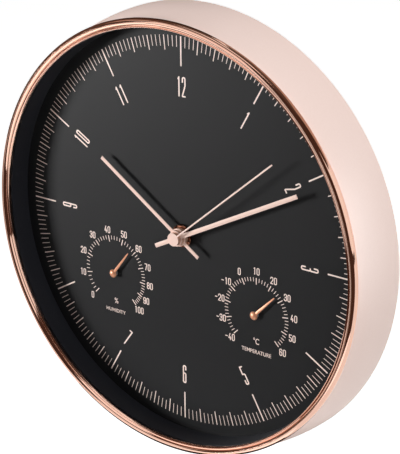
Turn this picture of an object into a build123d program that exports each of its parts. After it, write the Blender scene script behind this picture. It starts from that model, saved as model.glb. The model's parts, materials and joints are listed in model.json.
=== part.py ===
from build123d import *
import math
import os

# A round wall clock with a hygrometer and a thermometer in its dial.
# Sizes are in millimetres. The dial faces -Y and +Z is up. The origin is on the dial's axis,
# in the plane of the wall, and every height is measured from that plane towards the viewer.

# Shared clearances
overrun = 1.0            # how far a cutting shape runs past the face that it cuts
running_clearance = 0.05  # radial, between an arbor and its bearing
end_play = 0.1           # along an arbor, between neighbours that turn past each other
bore_depth = 1.4         # of a blind bearing
arbor_end_gap = 0.2      # from an arbor's end to the bottom of its bearing
print_thickness = 0.1    # of the printed marks

# Case band: a ring that flares back from the bezel to the wall
case_radius = 150.0
case_flare = 6.8         # how much wider the band is at the wall than at the bezel
case_wall = 1.2
case_flange_back = 5.2
case_flange_thickness = 1.0
case_flange_width = 6.8

# Bezel ring: its outline runs round the bead, in shares of the bead's width and height
bezel_height = 5.4
bezel_width = 6.3
bezel_overhang = 2.1       # of the bead past the front edge of the band
bezel_seat_drop = 0.2      # from the back of the glass down to the front edge of the band
bezel_sleeve_depth = 6.6
bezel_sleeve_gap = 0.1
bezel_foot_share = (0.93, 0.17)
bezel_side_share = (1.0, 0.46)
bezel_brow_share = (0.90, 0.84)
bezel_crest_share = (0.62, 1.0)
bezel_slope_share = (0.40, 0.91)
bezel_groove_share = (0.26, 0.70)
bezel_groove_end_share = (0.19, 0.70)
bezel_lip_top_share = (0.10, 0.79)
bezel_lip_edge_share = (0.0, 0.62)

# Glass, its gasket and the black ring behind it
lens_clearance = 4.8     # from the second hand to the glass
lens_gap = 0.2
lens_thickness = 2.0
lens_seat_width = 1.8
gasket_thickness = 0.4
gasket_inset = 0.4
ring_inset = 0.3         # of its bore behind the edge of the bezel's lip
ring_wall = 1.3
ring_shoulder_thickness = 1.6
ring_skirt_depth = 2.5
ring_skirt_wall = 1.3

# Dial
dial_front = 21.0
dial_thickness = 1.0
dial_edge_gap = 0.3

# Marks at the rim of the dial
track_margin = 7.8       # from the black ring to the marks
hour_mark_length = 19.0
hour_mark_width = 0.95
minute_mark_length = 9.5
minute_mark_width = 0.6
quarter_mark_length = 7.1
quarter_mark_width = 0.38
minutes_round = 60
marks_per_minute = 4
minutes_per_hour_mark = 5

# Hour numerals
numeral_margin = 6.7     # from the hour marks to the numerals
numeral_height = 13.1
numeral_width = 3.0
numeral_stroke = 0.95
numeral_gap = 1.05
upright_hours = ("9", "10", "11", "12", "1", "2", "3")
turned_hours = ("5", "6", "7")

# Small dials: marks and numbers
gauge_major_length = 4.4
gauge_major_width = 0.6
gauge_minor_length = 2.7
gauge_minor_width = 0.4
gauge_digit_height = 4.9
gauge_digit_width = 2.3
gauge_digit_stroke = 0.6
gauge_digit_gap = 0.45
gauge_divisions = 5

hygrometer_x = -59.3
hygrometer_z = -40.1
humidity_mark_radius = 26.2
humidity_number_radius = 30.4
humidity_degrees = (-135, -102, -71, -41, -12, 16, 44, 70, 95, 118, 138)
humidity_numbers = ("0", "10", "20", "30", "40", "50", "60", "70", "80", "90", "100")
humidity_pointer_degrees = 38.0

thermometer_x = 58.9
thermometer_z = -40.5
temperature_mark_radius = 25.0
temperature_number_radius = 29.5
temperature_degrees = (-135, -108, -81, -54, -27, 0, 27, 54, 81, 108, 135)
temperature_numbers = ("-40", "-30", "-20", "-10", "0", "10", "20", "30", "40", "50", "60")
temperature_pointer_degrees = 44.5

# Hands: degrees clockwise from twelve, heights above the dial
hour_hand_degrees = 303.2
hour_hand_length = 77.0
hour_hand_tail = 19.4
hour_hand_width = 2.5
hour_hub_radius = 6.0
hour_hand_rise = 4.8

minute_hand_degrees = 63.0
minute_hand_length = 105.6
minute_hand_tail = 19.2
minute_hand_width = 2.9
minute_hub_radius = 5.3
minute_hand_rise = 7.3

second_hand_degrees = 49.9
second_hand_length = 101.4
second_hand_width = 1.0
second_hub_radius = 4.4
second_hand_rise = 10.1

hand_thickness = 0.5
hand_edge_share = 0.7    # thickness at a hand's long edges over that at its crease
collet_wall = 0.7
collet_length = 1.4

# Fixing nut, washers and the threaded bush
bush_radius = 4.0
bush_flange_radius = 5.4
bush_flange_thickness = 0.8
bush_hole_gap = 0.1
bush_top_above_nut = 0.5
dial_washer_radius = 6.5
dial_washer_thickness = 0.4
nut_radius = 7.8
nut_thickness = 1.8
nut_chamfer = 0.8
rubber_washer_radius = 9.0
rubber_washer_thickness = 0.5

# Movement shells
movement_size = 56.0
movement_corner = 3.0
movement_wall = 1.2
movement_back = 3.0
movement_split = 12.0
bay_wall = 0.6
boss_radius = 1.2
peg_radius = 0.8

# Battery and its contacts
battery_radius = 7.25
battery_length = 50.5
battery_nub_radius = 2.75
battery_nub_length = 1.0
battery_gap = 0.2
battery_height = 11.0
contact_thickness = 0.4
contact_width = 11.0
contact_bow_width = 6.0
contact_bow_half = 5.0

# Hand tubes and arbors, one inside the other
second_arbor_radius = 0.5
minute_arbor_radius = 1.6
hour_tube_radius = 2.55
wheel_arbor_radius = 0.4
minute_wheel_arbor_radius = 0.6

# Wheel train: teeth, centre distances, directions in degrees from +X towards +Z
rotor_teeth = 10
intermediate_teeth = 60
intermediate_pinion_teeth = 10
second_teeth = 50
second_pinion_teeth = 8
third_teeth = 60
third_pinion_teeth = 8
centre_teeth = 64
cannon_teeth = 12
minute_wheel_teeth = 36
minute_pinion_teeth = 10
hour_teeth = 40
motion_distance = 12.0
third_distance = 12.24
intermediate_distance = 12.0
rotor_distance = 9.1
motion_direction = 90.0
third_direction = 150.0
intermediate_direction = -10.0
rotor_direction = 60.0

# Tooth outline: heights in modules, half widths as shares of the tooth spacing
wheel_addendum = 0.8
pinion_addendum = 0.7
dedendum = 1.15
wheel_root_share = 0.285
wheel_pitch_share = 0.235
wheel_tip_share = 0.10
pinion_root_share = 0.22
pinion_pitch_share = 0.22
pinion_tip_share = 0.10

# Heights of the wheels, back and front face
intermediate_back = 7.4
rotor_pinion_back = 7.2
rotor_pinion_front = 8.6
intermediate_pinion_front = 10.2
second_back = 9.0
second_pinion_front = 12.2
third_back = 11.0
third_pinion_back = 12.7
third_pinion_front = 14.3
centre_back = 13.1
cannon_back = 14.6
cannon_front = 15.8
minute_wheel_back = 14.8
minute_pinion_front = 17.4
hour_back = 16.4
wheel_thickness = 0.8
minute_collar_radius = 2.2
minute_collar_thickness = 0.4
rear_boss_end_second = 8.2
rear_boss_end_third = 10.4
rear_boss_end_intermediate = 6.8
rear_boss_end_rotor = 6.6
front_boss_end_third = 14.6
front_boss_end_intermediate = 14.4
front_boss_end_rotor = 15.0
front_boss_end_minute = 17.6

# Step motor
magnet_radius = 3.5
magnet_back = 10.5
magnet_front = 13.5
rotor_hole_gap = 0.6
stator_back = 11.6
stator_thickness = 0.8
stator_margin = 1.5
stator_leg_width = 2.7
stator_peg_drop = 3.0
coil_z = 20.5
coil_length = 10.9
coil_radius = 3.6
spool_radius = 2.45
spool_flange_radius = 3.9
spool_flange_thickness = 0.6
core_width = 3.6
core_thickness = 1.6
core_gap = 0.05

# Circuit board
board_length = 21.0
board_width = 7.5
board_thickness = 1.0
board_back = 12.5
board_x = -15.0
board_z = 22.3
board_peg_inset = 1.6
crystal_radius = 1.0
crystal_length = 6.0
crystal_inset = 3.0
chip_radius = 2.4
chip_x = -12.5
chip_thickness = 0.8

# Setting knob
knob_radius = 6.0
knob_thickness = 1.6
knob_gap = 0.2
knob_flute_radius = 0.7
knob_flutes = 16

# Instruments behind the small dials
cup_radius = 15.0
cup_wall = 1.0
cup_depth = 8.0
cup_neck_radius = 1.9
cup_neck_rise = 0.3
cup_neck_gap = 0.1
cup_bridge_width = 4.0
cup_post_width = 2.0
gauge_arbor_radius = 0.6
gauge_arbor_rise = 3.6
gauge_collar_radius = 1.2
coil_strip_thickness = 0.3
coil_strip_height = 3.0
coil_strip_gap = 1.0      # from the cup's bridge to the strip
coil_inner_gap = 0.05
thermometer_coil_turns = 5
hygrometer_coil_turns = 4
gauge_pointer_rise = 2.6
gauge_pointer_thickness = 0.4
gauge_pointer_length = 22.5
gauge_pointer_root = 2.2
gauge_pointer_tip = 0.9
gauge_hub_radius = 2.9
gauge_hub_thickness = 0.8

# Back cover
cover_gap = 0.4
cover_panel_back = 2.4
cover_panel_thickness = 2.0
cover_rim_back = 1.6
cover_rib_gap = 0.3
cover_rib_wall = 2.4
window_gap = 1.0
window_frame_width = 2.0
window_frame_rise = 0.8
vent_length = 18.0
vent_width = 2.2
vent_spacing = 5.0
vents_per_gauge = 5

# Screws of the back cover
screw_circle_inset = 3.2   # from the back cover's edge to the screws' circle
screw_count = 6
screw_first_degrees = 30.0
screw_radius = 1.4
screw_length = 5.6
screw_head_radius = 2.7
screw_head_thickness = 1.6
screw_head_gap = 0.3
screw_counterbore = 2.0
screw_slot_width = 0.7
screw_slot_depth_share = 0.35   # of the head's thickness

# Keyhole hanger
hanger_inset = 50.0      # from the case's edge to the plate's middle
hanger_length = 44.0
hanger_width = 20.0
hanger_thickness = 1.0
hanger_corner = 4.0
hanger_pocket_length = 26.0
hanger_pocket_width = 16.0
keyhole_radius = 4.5
keyhole_slot_radius = 2.1
keyhole_drop = 3.5       # of the round hole below the plate's middle
keyhole_slot_rise = 4.5  # of the slot's top centre above the plate's middle
hanger_screw_x = 17.0
hanger_screw_radius = 1.2
hanger_screw_length = 5.0
hanger_screw_head_radius = 2.3
hanger_screw_head_thickness = 0.9

# Places that follow from the sizes above
dial_back = dial_front - dial_thickness
hour_hand_back = dial_front + hour_hand_rise
minute_hand_back = dial_front + minute_hand_rise
second_hand_back = dial_front + second_hand_rise
lens_back = second_hand_back + hand_thickness + lens_clearance
lens_front = lens_back + lens_thickness
bezel_lip_back = lens_front + gasket_thickness
case_front_height = lens_back + bezel_seat_drop
case_front_radius = case_radius - case_flare
bezel_sleeve_back = case_front_height - bezel_sleeve_depth
bezel_radius = case_front_radius + bezel_overhang
bezel_opening_radius = bezel_radius - bezel_width
lens_radius = bezel_opening_radius + lens_seat_width - lens_gap
ring_radius = bezel_opening_radius + ring_inset
track_radius = ring_radius - track_margin
numeral_radius = track_radius - hour_mark_length - numeral_margin - numeral_height / 2
skirt_inner_radius = ring_radius + ring_wall + running_clearance + dial_edge_gap
dial_radius = skirt_inner_radius - dial_edge_gap
cover_rib_radius = skirt_inner_radius - cover_rib_gap
movement_front = dial_back - rubber_washer_thickness
movement_inner = movement_size / 2 - movement_wall
shell_inner_front = movement_front - movement_wall
shell_inner_back = movement_back + movement_wall
nut_back = dial_front + dial_washer_thickness
nut_front = nut_back + nut_thickness
bush_front = nut_front + bush_top_above_nut
hour_tube_bore = minute_arbor_radius + running_clearance
bush_bore = hour_tube_radius + running_clearance
second_bore = second_arbor_radius + running_clearance
cup_back = dial_back - cup_depth
coil_strip_back = cup_back + cup_wall + coil_strip_gap
bay_bottom = -movement_inner
bay_top = bay_bottom + 2 * battery_radius + 2 * battery_gap
battery_z = bay_bottom + battery_gap + battery_radius
battery_front_x = movement_inner - contact_thickness
battery_back_x = battery_front_x - battery_length
stator_front = stator_back + stator_thickness
board_front = board_back + board_thickness


def polar(distance, degrees, centre=(0, 0)):
    """Place at a distance and direction from a centre, as seen from the front."""
    turn = math.radians(degrees)
    return (centre[0] + distance * math.cos(turn), centre[1] + distance * math.sin(turn))


def clock_place(radius, degrees, centre=(0, 0)):
    """Place at a radius and an angle clockwise from twelve."""
    return polar(radius, 90 - degrees, centre)


motion_axis = polar(motion_distance, motion_direction)
third_axis = polar(third_distance, third_direction)
intermediate_axis = polar(intermediate_distance, intermediate_direction)
rotor_axis = polar(rotor_distance, rotor_direction, intermediate_axis)


def case_radius_at(height):
    """Outer radius of the case band, an arc that starts square to the wall."""
    drop = case_radius - case_front_radius
    flare = (case_front_height ** 2 + drop ** 2) / (2 * drop)
    return case_radius - flare + math.sqrt(flare ** 2 - height ** 2)


cover_radius = case_radius_at(case_flange_back) - case_wall - cover_gap
screw_circle_radius = cover_radius - screw_circle_inset
hanger_z = case_radius - hanger_inset


def face_plane(height, x=0, z=0):
    """Plane parallel to the wall whose normal points at the viewer."""
    return Plane(origin=(x, -height, z), x_dir=(1, 0, 0), z_dir=(0, -1, 0))


def slab(sketch, back, front, x=0, z=0):
    """Solid between two heights from a flat shape seen from the front."""
    return extrude(face_plane(back, x, z) * sketch, amount=front - back)


def tube(outer, inner, back, front, place=(0, 0)):
    """Round bar, or a tube where an inner radius is given, between two heights."""
    sketch = Circle(outer)
    if inner:
        sketch -= Circle(inner)
    return slab(sketch, back, front, *place)


def profile_point(radius, height):
    return (radius, -height)


def turned(edges):
    """Ring turned round the dial's axis from a closed outline of edges."""
    return revolve(make_face(edges), axis=Axis.Y)


def turned_polygon(points):
    outline = Polyline(*[profile_point(*point) for point in points], close=True)
    return turned(outline.edges())


def profile_arc(start, middle, end):
    return ThreePointArc(profile_point(*start), profile_point(*middle), profile_point(*end))


def profile_line(*points):
    return Polyline(*[profile_point(*point) for point in points])


def save(shape, node):
    """Write a node, as one solid or as a group of separate solids."""
    if isinstance(shape, (list, tuple)):
        shape = Compound(children=[solid for item in shape for solid in item.solids()])
    export_step(shape, f"parts/{node}.step")


# Case, glass and black ring

def case_side():
    """Flared band with a flange inside that the back cover is screwed to."""
    def arc(offset):
        heights = (0, case_front_height / 2, case_front_height)
        return profile_arc(*[(case_radius_at(height) - offset, height) for height in heights])

    outer = arc(0)
    inner = arc(case_wall)
    edges = [outer, inner, Line(outer @ 0, inner @ 0), Line(outer @ 1, inner @ 1)]
    band = turned(edges)
    flange_front = case_flange_back + case_flange_thickness
    flange_outer = case_radius_at(flange_front) - case_wall / 2
    flange = tube(flange_outer, flange_outer - case_flange_width, case_flange_back, flange_front)
    band += flange
    for place in screw_places():
        band -= tube(screw_radius, 0, case_flange_back - overrun, flange_front + overrun, place)
    return band


def bezel_point(share):
    return (bezel_opening_radius + share[0] * bezel_width, case_front_height + share[1] * bezel_height)


def bezel_ring():
    """Rolled bead over the glass, with a sleeve that enters the case band."""
    side = bezel_point(bezel_side_share)
    crest = bezel_point(bezel_crest_share)
    groove = bezel_point(bezel_groove_share)
    groove_end = bezel_point(bezel_groove_end_share)
    lip = bezel_point(bezel_lip_edge_share)
    bore = bezel_opening_radius + lens_seat_width
    sleeve = case_front_radius - case_wall - bezel_sleeve_gap
    shoulder = (case_front_radius, case_front_height)
    edges = [
        profile_arc(shoulder, bezel_point(bezel_foot_share), side),
        profile_arc(side, bezel_point(bezel_brow_share), crest),
        profile_arc(crest, bezel_point(bezel_slope_share), groove),
        profile_line(groove, groove_end),
        profile_arc(groove_end, bezel_point(bezel_lip_top_share), lip),
        profile_line(
            lip,
            (bezel_opening_radius, bezel_lip_back),
            (bore, bezel_lip_back),
            (bore, bezel_sleeve_back),
            (sleeve, bezel_sleeve_back),
            (sleeve, case_front_height),
            shoulder,
        ),
    ]
    return turned([edge for item in edges for edge in item.edges()])


def lens_gasket():
    return tube(lens_radius, bezel_opening_radius + gasket_inset, lens_front, bezel_lip_back)


def glass_lens():
    return tube(lens_radius, 0, lens_back, lens_front)


def inner_ring():
    """Black ring that spaces the glass from the dial and centres the dial in its skirt."""
    ring_outer = ring_radius + ring_wall
    skirt_outer = skirt_inner_radius + ring_skirt_wall
    shoulder = dial_front + ring_shoulder_thickness
    skirt_back = dial_front - ring_skirt_depth
    return turned_polygon([
        (ring_radius, dial_front),
        (ring_radius, lens_back),
        (ring_outer, lens_back),
        (ring_outer, shoulder),
        (skirt_outer, shoulder),
        (skirt_outer, skirt_back),
        (skirt_inner_radius, skirt_back),
        (skirt_inner_radius, dial_front),
    ])


# Dial and what is printed on it

def dial_plate():
    plate = Circle(dial_radius) - Circle(bush_radius + bush_hole_gap)
    for place in ((hygrometer_x, hygrometer_z), (thermometer_x, thermometer_z)):
        plate -= Pos(*place) * Circle(cup_neck_radius + cup_neck_gap)
    return slab(plate, dial_back, dial_front)


def printed(sketch):
    return slab(sketch, dial_front, dial_front + print_thickness)


def mark(outer, length, width, degrees, centre=(0, 0)):
    """One radial mark that ends at an outer radius."""
    bar = Pos(0, outer - length / 2) * Rectangle(width, length)
    return printed(Pos(*centre) * Rot(0, 0, -degrees) * bar)


def minute_track():
    marks = []
    for number in range(minutes_round * marks_per_minute):
        minute, quarter = divmod(number, marks_per_minute)
        if quarter:
            length, width = quarter_mark_length, quarter_mark_width
        elif minute % minutes_per_hour_mark:
            length, width = minute_mark_length, minute_mark_width
        else:
            length, width = hour_mark_length, hour_mark_width
        degrees = 360 * number / (minutes_round * marks_per_minute)
        marks.append(mark(track_radius, length, width, degrees))
    return marks


# Each digit is a set of strokes. A stroke says whether it closes on itself and whether its corners
# are round, and lists its points as shares of the digit's width and height.
digit_shares = {
    "0": [(True, True, [(0, 0), (0, 1), (1, 1), (1, 0)])],
    "1": [(False, False, [(0.28, 0.91), (0.6, 1), (0.6, 0)])],
    "2": [
        (False, True, [(0, 0.76), (0, 1), (1, 1), (1, 0.58), (0, 0.06)]),
        (False, False, [(0, 0.06), (0, 0), (1, 0)]),
    ],
    "3": [
        (False, True, [(0, 0.78), (0, 1), (1, 1), (1, 0.53), (0.35, 0.53)]),
        (False, True, [(0.35, 0.53), (1, 0.53), (1, 0), (0, 0), (0, 0.22)]),
    ],
    "4": [
        (False, False, [(0.55, 1), (0, 0.28), (1, 0.28)]),
        (False, False, [(0.72, 0.5), (0.72, 0)]),
    ],
    "5": [
        (False, False, [(0.95, 1), (0.05, 1), (0.05, 0.58)]),
        (False, True, [(0.05, 0.58), (1, 0.58), (1, 0), (0, 0), (0, 0.22)]),
    ],
    "6": [
        (True, True, [(0, 0), (0, 0.56), (1, 0.56), (1, 0)]),
        (False, True, [(0, 0.3), (0, 1), (1, 1), (1, 0.78)]),
    ],
    "7": [(False, False, [(0, 1), (1, 1), (0.35, 0)])],
    "8": [
        (True, True, [(0, 0), (0, 0.54), (1, 0.54), (1, 0)]),
        (True, True, [(0, 0.54), (0, 1), (1, 1), (1, 0.54)]),
    ],
    "9": [
        (True, True, [(0, 0.44), (0, 1), (1, 1), (1, 0.44)]),
        (False, True, [(1, 0.7), (1, 0), (0, 0), (0, 0.22)]),
    ],
    "-": [(False, False, [(0.1, 0.5), (0.9, 0.5)])],
}
round_corner_share = 0.44   # corner radius over the width between stroke centres


def stroke_face(closed, rounded, shares, width, height, stroke):
    """Outline of one stroke of even width."""
    points = [((u - 0.5) * width, (v - 0.5) * height) for u, v in shares]
    if rounded:
        path = FilletPolyline(*points, radius=round_corner_share * width, close=closed)
    else:
        path = Polyline(*points, close=closed)
    line = Wire(path.edges())
    if closed:
        outside = line.offset_2d(stroke / 2, kind=Kind.ARC)
        inside = line.offset_2d(-stroke / 2, kind=Kind.ARC)
        return make_face(outside.edges()) - make_face(inside.edges())
    return make_face(line.offset_2d(stroke / 2, kind=Kind.ARC, side=Side.BOTH).edges())


def digit_face(digit, width, height, stroke):
    face = Sketch()
    for closed, rounded, shares in digit_shares[digit]:
        face += stroke_face(closed, rounded, shares, width - stroke, height - stroke, stroke)
    return face


def number_solids(text, width, height, stroke, gap, place, turn):
    """A number set round its own middle, turned and put at its place on the dial."""
    solids = []
    step = width + gap
    for column, digit in enumerate(text):
        shift = (column - (len(text) - 1) / 2) * step
        face = Rot(0, 0, turn) * Pos(shift, 0) * digit_face(digit, width, height, stroke)
        solids.append(printed(Pos(*place) * face))
    return solids


def hour_numerals():
    solids = []
    sizes = (numeral_width, numeral_height, numeral_stroke, numeral_gap)
    for hour in upright_hours + turned_hours:
        degrees = 360 * int(hour) / 12
        turn = 180 - degrees if hour in turned_hours else -degrees
        place = clock_place(numeral_radius, degrees)
        solids += number_solids(hour, *sizes, place, turn)
    return solids


def gauge_scale(centre, degrees, numbers, mark_radius, number_radius):
    """Marks and numbers of a small dial, with even divisions between two numbers."""
    solids = []
    for index, start in enumerate(degrees):
        solids.append(mark(mark_radius, gauge_major_length, gauge_major_width, start, centre))
        if index + 1 < len(degrees):
            step = (degrees[index + 1] - start) / gauge_divisions
            for division in range(1, gauge_divisions):
                angle = start + division * step
                solids.append(mark(mark_radius, gauge_minor_length, gauge_minor_width, angle, centre))
        place = clock_place(number_radius, start, centre)
        sizes = (gauge_digit_width, gauge_digit_height, gauge_digit_stroke, gauge_digit_gap)
        solids += number_solids(numbers[index], *sizes, place, 0)
    return solids


# Hands and what holds them

def hand_blade(width, length, tail, thickness):
    """Straight bar with a fine crease along its middle, pointing at twelve."""
    edge = thickness * hand_edge_share
    half = width / 2
    corners = [(-half, 0), (half, 0), (half, edge), (0, thickness), (-half, edge)]
    section = Plane.XZ.offset(tail) * make_face(Polyline(*corners, close=True).edges())
    return extrude(section, amount=-(length + tail))


def hand(blade, hub_radius, bore, back, degrees):
    """A blade on a round hub with a collet behind it that grips the tube."""
    shape = face_plane(back) * Rot(0, 0, -degrees) * blade
    shape += tube(hub_radius, 0, back, back + hand_thickness)
    shape += tube(bore + collet_wall, 0, back - collet_length, back)
    return shape


def hour_hand():
    blade = hand_blade(hour_hand_width, hour_hand_length, hour_hand_tail, hand_thickness)
    shape = hand(blade, hour_hub_radius, hour_tube_radius, hour_hand_back, hour_hand_degrees)
    front = hour_hand_back + hand_thickness
    return shape - tube(hour_tube_radius, 0, hour_hand_back - collet_length - overrun, front + overrun)


def minute_hand():
    blade = hand_blade(minute_hand_width, minute_hand_length, minute_hand_tail, hand_thickness)
    shape = hand(blade, minute_hub_radius, minute_arbor_radius, minute_hand_back, minute_hand_degrees)
    front = minute_hand_back + hand_thickness
    back = minute_hand_back - collet_length
    return shape - tube(minute_arbor_radius, 0, back - overrun, front + overrun)


def second_hand():
    blade = hand_blade(second_hand_width, second_hand_length, 0, hand_thickness)
    shape = hand(blade, second_hub_radius, second_arbor_radius, second_hand_back, second_hand_degrees)
    back = second_hand_back - collet_length
    return shape - tube(second_arbor_radius, 0, back - overrun, second_hand_back)


def fixing_nut():
    """Round nut with a broad chamfer."""
    disc = tube(nut_radius, bush_radius, nut_back, nut_front)
    rim = disc.edges().filter_by(GeomType.CIRCLE).sort_by(Axis.Y)
    outer = [edge for edge in rim if edge.radius > bush_radius and -edge.arc_center.Y > nut_back]
    return chamfer(outer, nut_chamfer)


def threaded_bush():
    flange_back = shell_inner_front - bush_flange_thickness
    bush = tube(bush_radius, bush_bore, flange_back, bush_front)
    return bush + tube(bush_flange_radius, bush_bore, flange_back, shell_inner_front)


def dial_washer():
    return tube(dial_washer_radius, bush_radius + bush_hole_gap, dial_front, nut_back)


def rubber_washer():
    return tube(rubber_washer_radius, bush_radius + bush_hole_gap, movement_front, dial_back)


# Movement shells, battery and circuit

def bearing(place, wall, end, radius):
    """Boss that stands from a wall to a height, with a blind bore in its end."""
    boss = tube(boss_radius, 0, min(wall, end), max(wall, end), place)
    if end > wall:
        bore = tube(radius, 0, end - bore_depth, end + overrun, place)
    else:
        bore = tube(radius, 0, end - overrun, end + bore_depth, place)
    return boss, bore


def add_bearings(shell, seats):
    """Bosses first and bores after them, so that a bore may enter the wall."""
    pairs = [bearing(*seat) for seat in seats]
    for boss, bore in pairs:
        shell += boss
    for boss, bore in pairs:
        shell -= bore
    return shell


def shell_outline(inset):
    size = movement_size - 2 * inset
    return RectangleRounded(size, size, movement_corner - inset)


def bay_divider(back, front):
    width = 2 * movement_inner
    middle = bay_top + bay_wall / 2
    return slab(Rectangle(width, bay_wall), back, front, 0, middle)


def peg(place, end):
    return tube(peg_radius, 0, end, shell_inner_front, place)


def leg_places():
    """Middle of the stator's two legs, left and right of the rotor."""
    half = coil_length / 2 + spool_flange_thickness + stator_leg_width / 2
    return (rotor_axis[0] - half, rotor_axis[0] + half)


def board_peg_places():
    offset = board_length / 2 - board_peg_inset
    return [(board_x - offset, board_z), (board_x + offset, board_z)]


def movement_front_shell():
    shell = slab(shell_outline(0), movement_split, movement_front)
    shell -= slab(shell_outline(movement_wall), movement_split - overrun, shell_inner_front)
    shell += bay_divider(movement_split, shell_inner_front)
    for x in leg_places():
        shell += peg((x, coil_z - stator_peg_drop), stator_front)
    for place in board_peg_places():
        shell += peg(place, board_front)
    wheel_bore = wheel_arbor_radius + running_clearance
    minute_bore = minute_wheel_arbor_radius + running_clearance
    shell = add_bearings(shell, [
        (third_axis, shell_inner_front, front_boss_end_third, wheel_bore),
        (intermediate_axis, shell_inner_front, front_boss_end_intermediate, wheel_bore),
        (rotor_axis, shell_inner_front, front_boss_end_rotor, wheel_bore),
        (motion_axis, shell_inner_front, front_boss_end_minute, minute_bore),
    ])
    return shell - tube(bush_radius, 0, movement_split, movement_front + overrun)


def movement_back_shell():
    """Back half with an open bay for the battery and a hole for the setting arbor."""
    shell = slab(shell_outline(0), movement_back, movement_split)
    shell -= slab(shell_outline(movement_wall), shell_inner_back, movement_split + overrun)
    bay_height = bay_top - bay_bottom
    bay = Rectangle(2 * movement_inner, bay_height)
    bay_middle = (bay_top + bay_bottom) / 2
    shell -= slab(bay, movement_back - overrun, shell_inner_back + overrun, 0, bay_middle)
    shell += bay_divider(shell_inner_back, movement_split)
    wheel_bore = wheel_arbor_radius + running_clearance
    shell = add_bearings(shell, [
        ((0, 0), shell_inner_back, rear_boss_end_second, second_bore),
        (third_axis, shell_inner_back, rear_boss_end_third, wheel_bore),
        (intermediate_axis, shell_inner_back, rear_boss_end_intermediate, wheel_bore),
        (rotor_axis, shell_inner_back, rear_boss_end_rotor, wheel_bore),
    ])
    hole = minute_wheel_arbor_radius + running_clearance
    return shell - tube(hole, 0, movement_back - overrun, shell_inner_back + overrun, motion_axis)


def side_bar(radius, start, end):
    """Round bar that lies along X at the battery's place."""
    plane = Plane(origin=(start, -battery_height, battery_z), z_dir=(1, 0, 0))
    return extrude(plane * Circle(radius), amount=end - start)


def battery_cell():
    shoulder = battery_front_x - battery_nub_length
    body = side_bar(battery_radius, battery_back_x, shoulder)
    return body + side_bar(battery_nub_radius, shoulder, battery_front_x)


def contact_plate(start, end):
    plane = Plane(origin=(start, -battery_height, battery_z), z_dir=(1, 0, 0))
    return extrude(plane * Rectangle(contact_width, contact_width), amount=end - start)


def positive_contact():
    return contact_plate(battery_front_x, movement_inner)


def negative_contact():
    """Plate with a bowed tongue that presses on the battery's flat end."""
    plate_face = contact_thickness - movement_inner
    plate = contact_plate(-movement_inner, plate_face)

    def bow(inset):
        crown = battery_back_x - inset
        half = contact_bow_half - inset
        return ThreePointArc(
            (plate_face, -battery_height - half),
            (crown, -battery_height),
            (plate_face, -battery_height + half),
        )

    outer = bow(0)
    inner = bow(contact_thickness)
    edges = [outer, inner, Line(outer @ 0, inner @ 0), Line(outer @ 1, inner @ 1)]
    section = Plane.XY.offset(battery_z - contact_bow_width / 2) * make_face(edges)
    return plate + extrude(section, amount=contact_bow_width)


def circuit_board():
    return slab(Rectangle(board_length, board_width), board_back, board_front, board_x, board_z)


def quartz_crystal():
    """Small can lying on the board's front face, across its outer end."""
    start = board_x - board_length / 2 + crystal_inset
    height = board_front + crystal_radius
    low = board_z - board_width / 2 + crystal_radius
    plane = Plane(origin=(start, -height, low), z_dir=(1, 0, 0))
    return extrude(plane * Circle(crystal_radius), amount=crystal_length)


def driver_chip():
    return tube(chip_radius, 0, board_front, board_front + chip_thickness, (chip_x, board_z))


# Step motor

def stator():
    """Plate with a hole round the magnet and two legs that reach the coil's core."""
    left, right = leg_places()
    hole = magnet_radius + rotor_hole_gap
    width = right - left + stator_leg_width
    bar_height = 2 * (hole + stator_margin)
    x, z = rotor_axis
    plate = Pos(x, z) * Rectangle(width, bar_height)
    top = coil_z + core_width / 2
    for leg in (left, right):
        plate += Pos(leg, (z + top) / 2) * Rectangle(stator_leg_width, top - z)
    plate -= Pos(x, z) * Circle(hole)
    return slab(plate, stator_back, stator_front)


def coil_core():
    left, right = leg_places()
    length = right - left + stator_leg_width
    bar = Rectangle(length, core_width)
    return slab(bar, stator_front, stator_front + core_thickness, rotor_axis[0], coil_z)


def coil_bar(radius, length):
    """Round bar along the core, centred over the rotor."""
    height = stator_front + core_thickness / 2
    start = rotor_axis[0] - length / 2
    plane = Plane(origin=(start, -height, coil_z), z_dir=(1, 0, 0))
    return extrude(plane * Circle(radius), amount=length)


def coil_bobbin():
    full = coil_length + 2 * spool_flange_thickness
    spool = coil_bar(spool_flange_radius, full) - coil_winding()
    gap = 2 * core_gap
    hole = Rectangle(full + 2 * overrun, core_width + gap)
    back = stator_front - core_gap
    front = stator_front + core_thickness + core_gap
    spool -= slab(hole, back, front, rotor_axis[0], coil_z)
    cut = coil_bar(spool_flange_radius + overrun, coil_length) - coil_bar(spool_radius, coil_length)
    return spool - cut


def coil_winding():
    return coil_bar(coil_radius, coil_length) - coil_bar(spool_radius, coil_length)


def rotor_magnet():
    return tube(magnet_radius, wheel_arbor_radius, magnet_back, magnet_front, rotor_axis)


# Wheel train

def toothed(teeth, module, back, front, place, phase, is_wheel):
    """Toothed disc whose phase is the direction of one tooth, in degrees from +X."""
    pitch_radius = module * teeth / 2
    if is_wheel:
        addendum = wheel_addendum
        shares = (wheel_root_share, wheel_pitch_share, wheel_tip_share)
    else:
        addendum = pinion_addendum
        shares = (pinion_root_share, pinion_pitch_share, pinion_tip_share)
    tip = pitch_radius + addendum * module
    root = pitch_radius - dedendum * module
    radii = (root, pitch_radius, tip)
    spacing = 360 / teeth
    flank = list(zip(radii, shares))
    points = []
    for tooth in range(teeth):
        middle = phase + tooth * spacing
        points += [polar(radius, middle - share * spacing) for radius, share in flank]
        points += [polar(radius, middle + share * spacing) for radius, share in reversed(flank)]
    outline = Polyline(*points, close=True)
    return slab(make_face(outline.edges()), back, front, *place)


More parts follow.
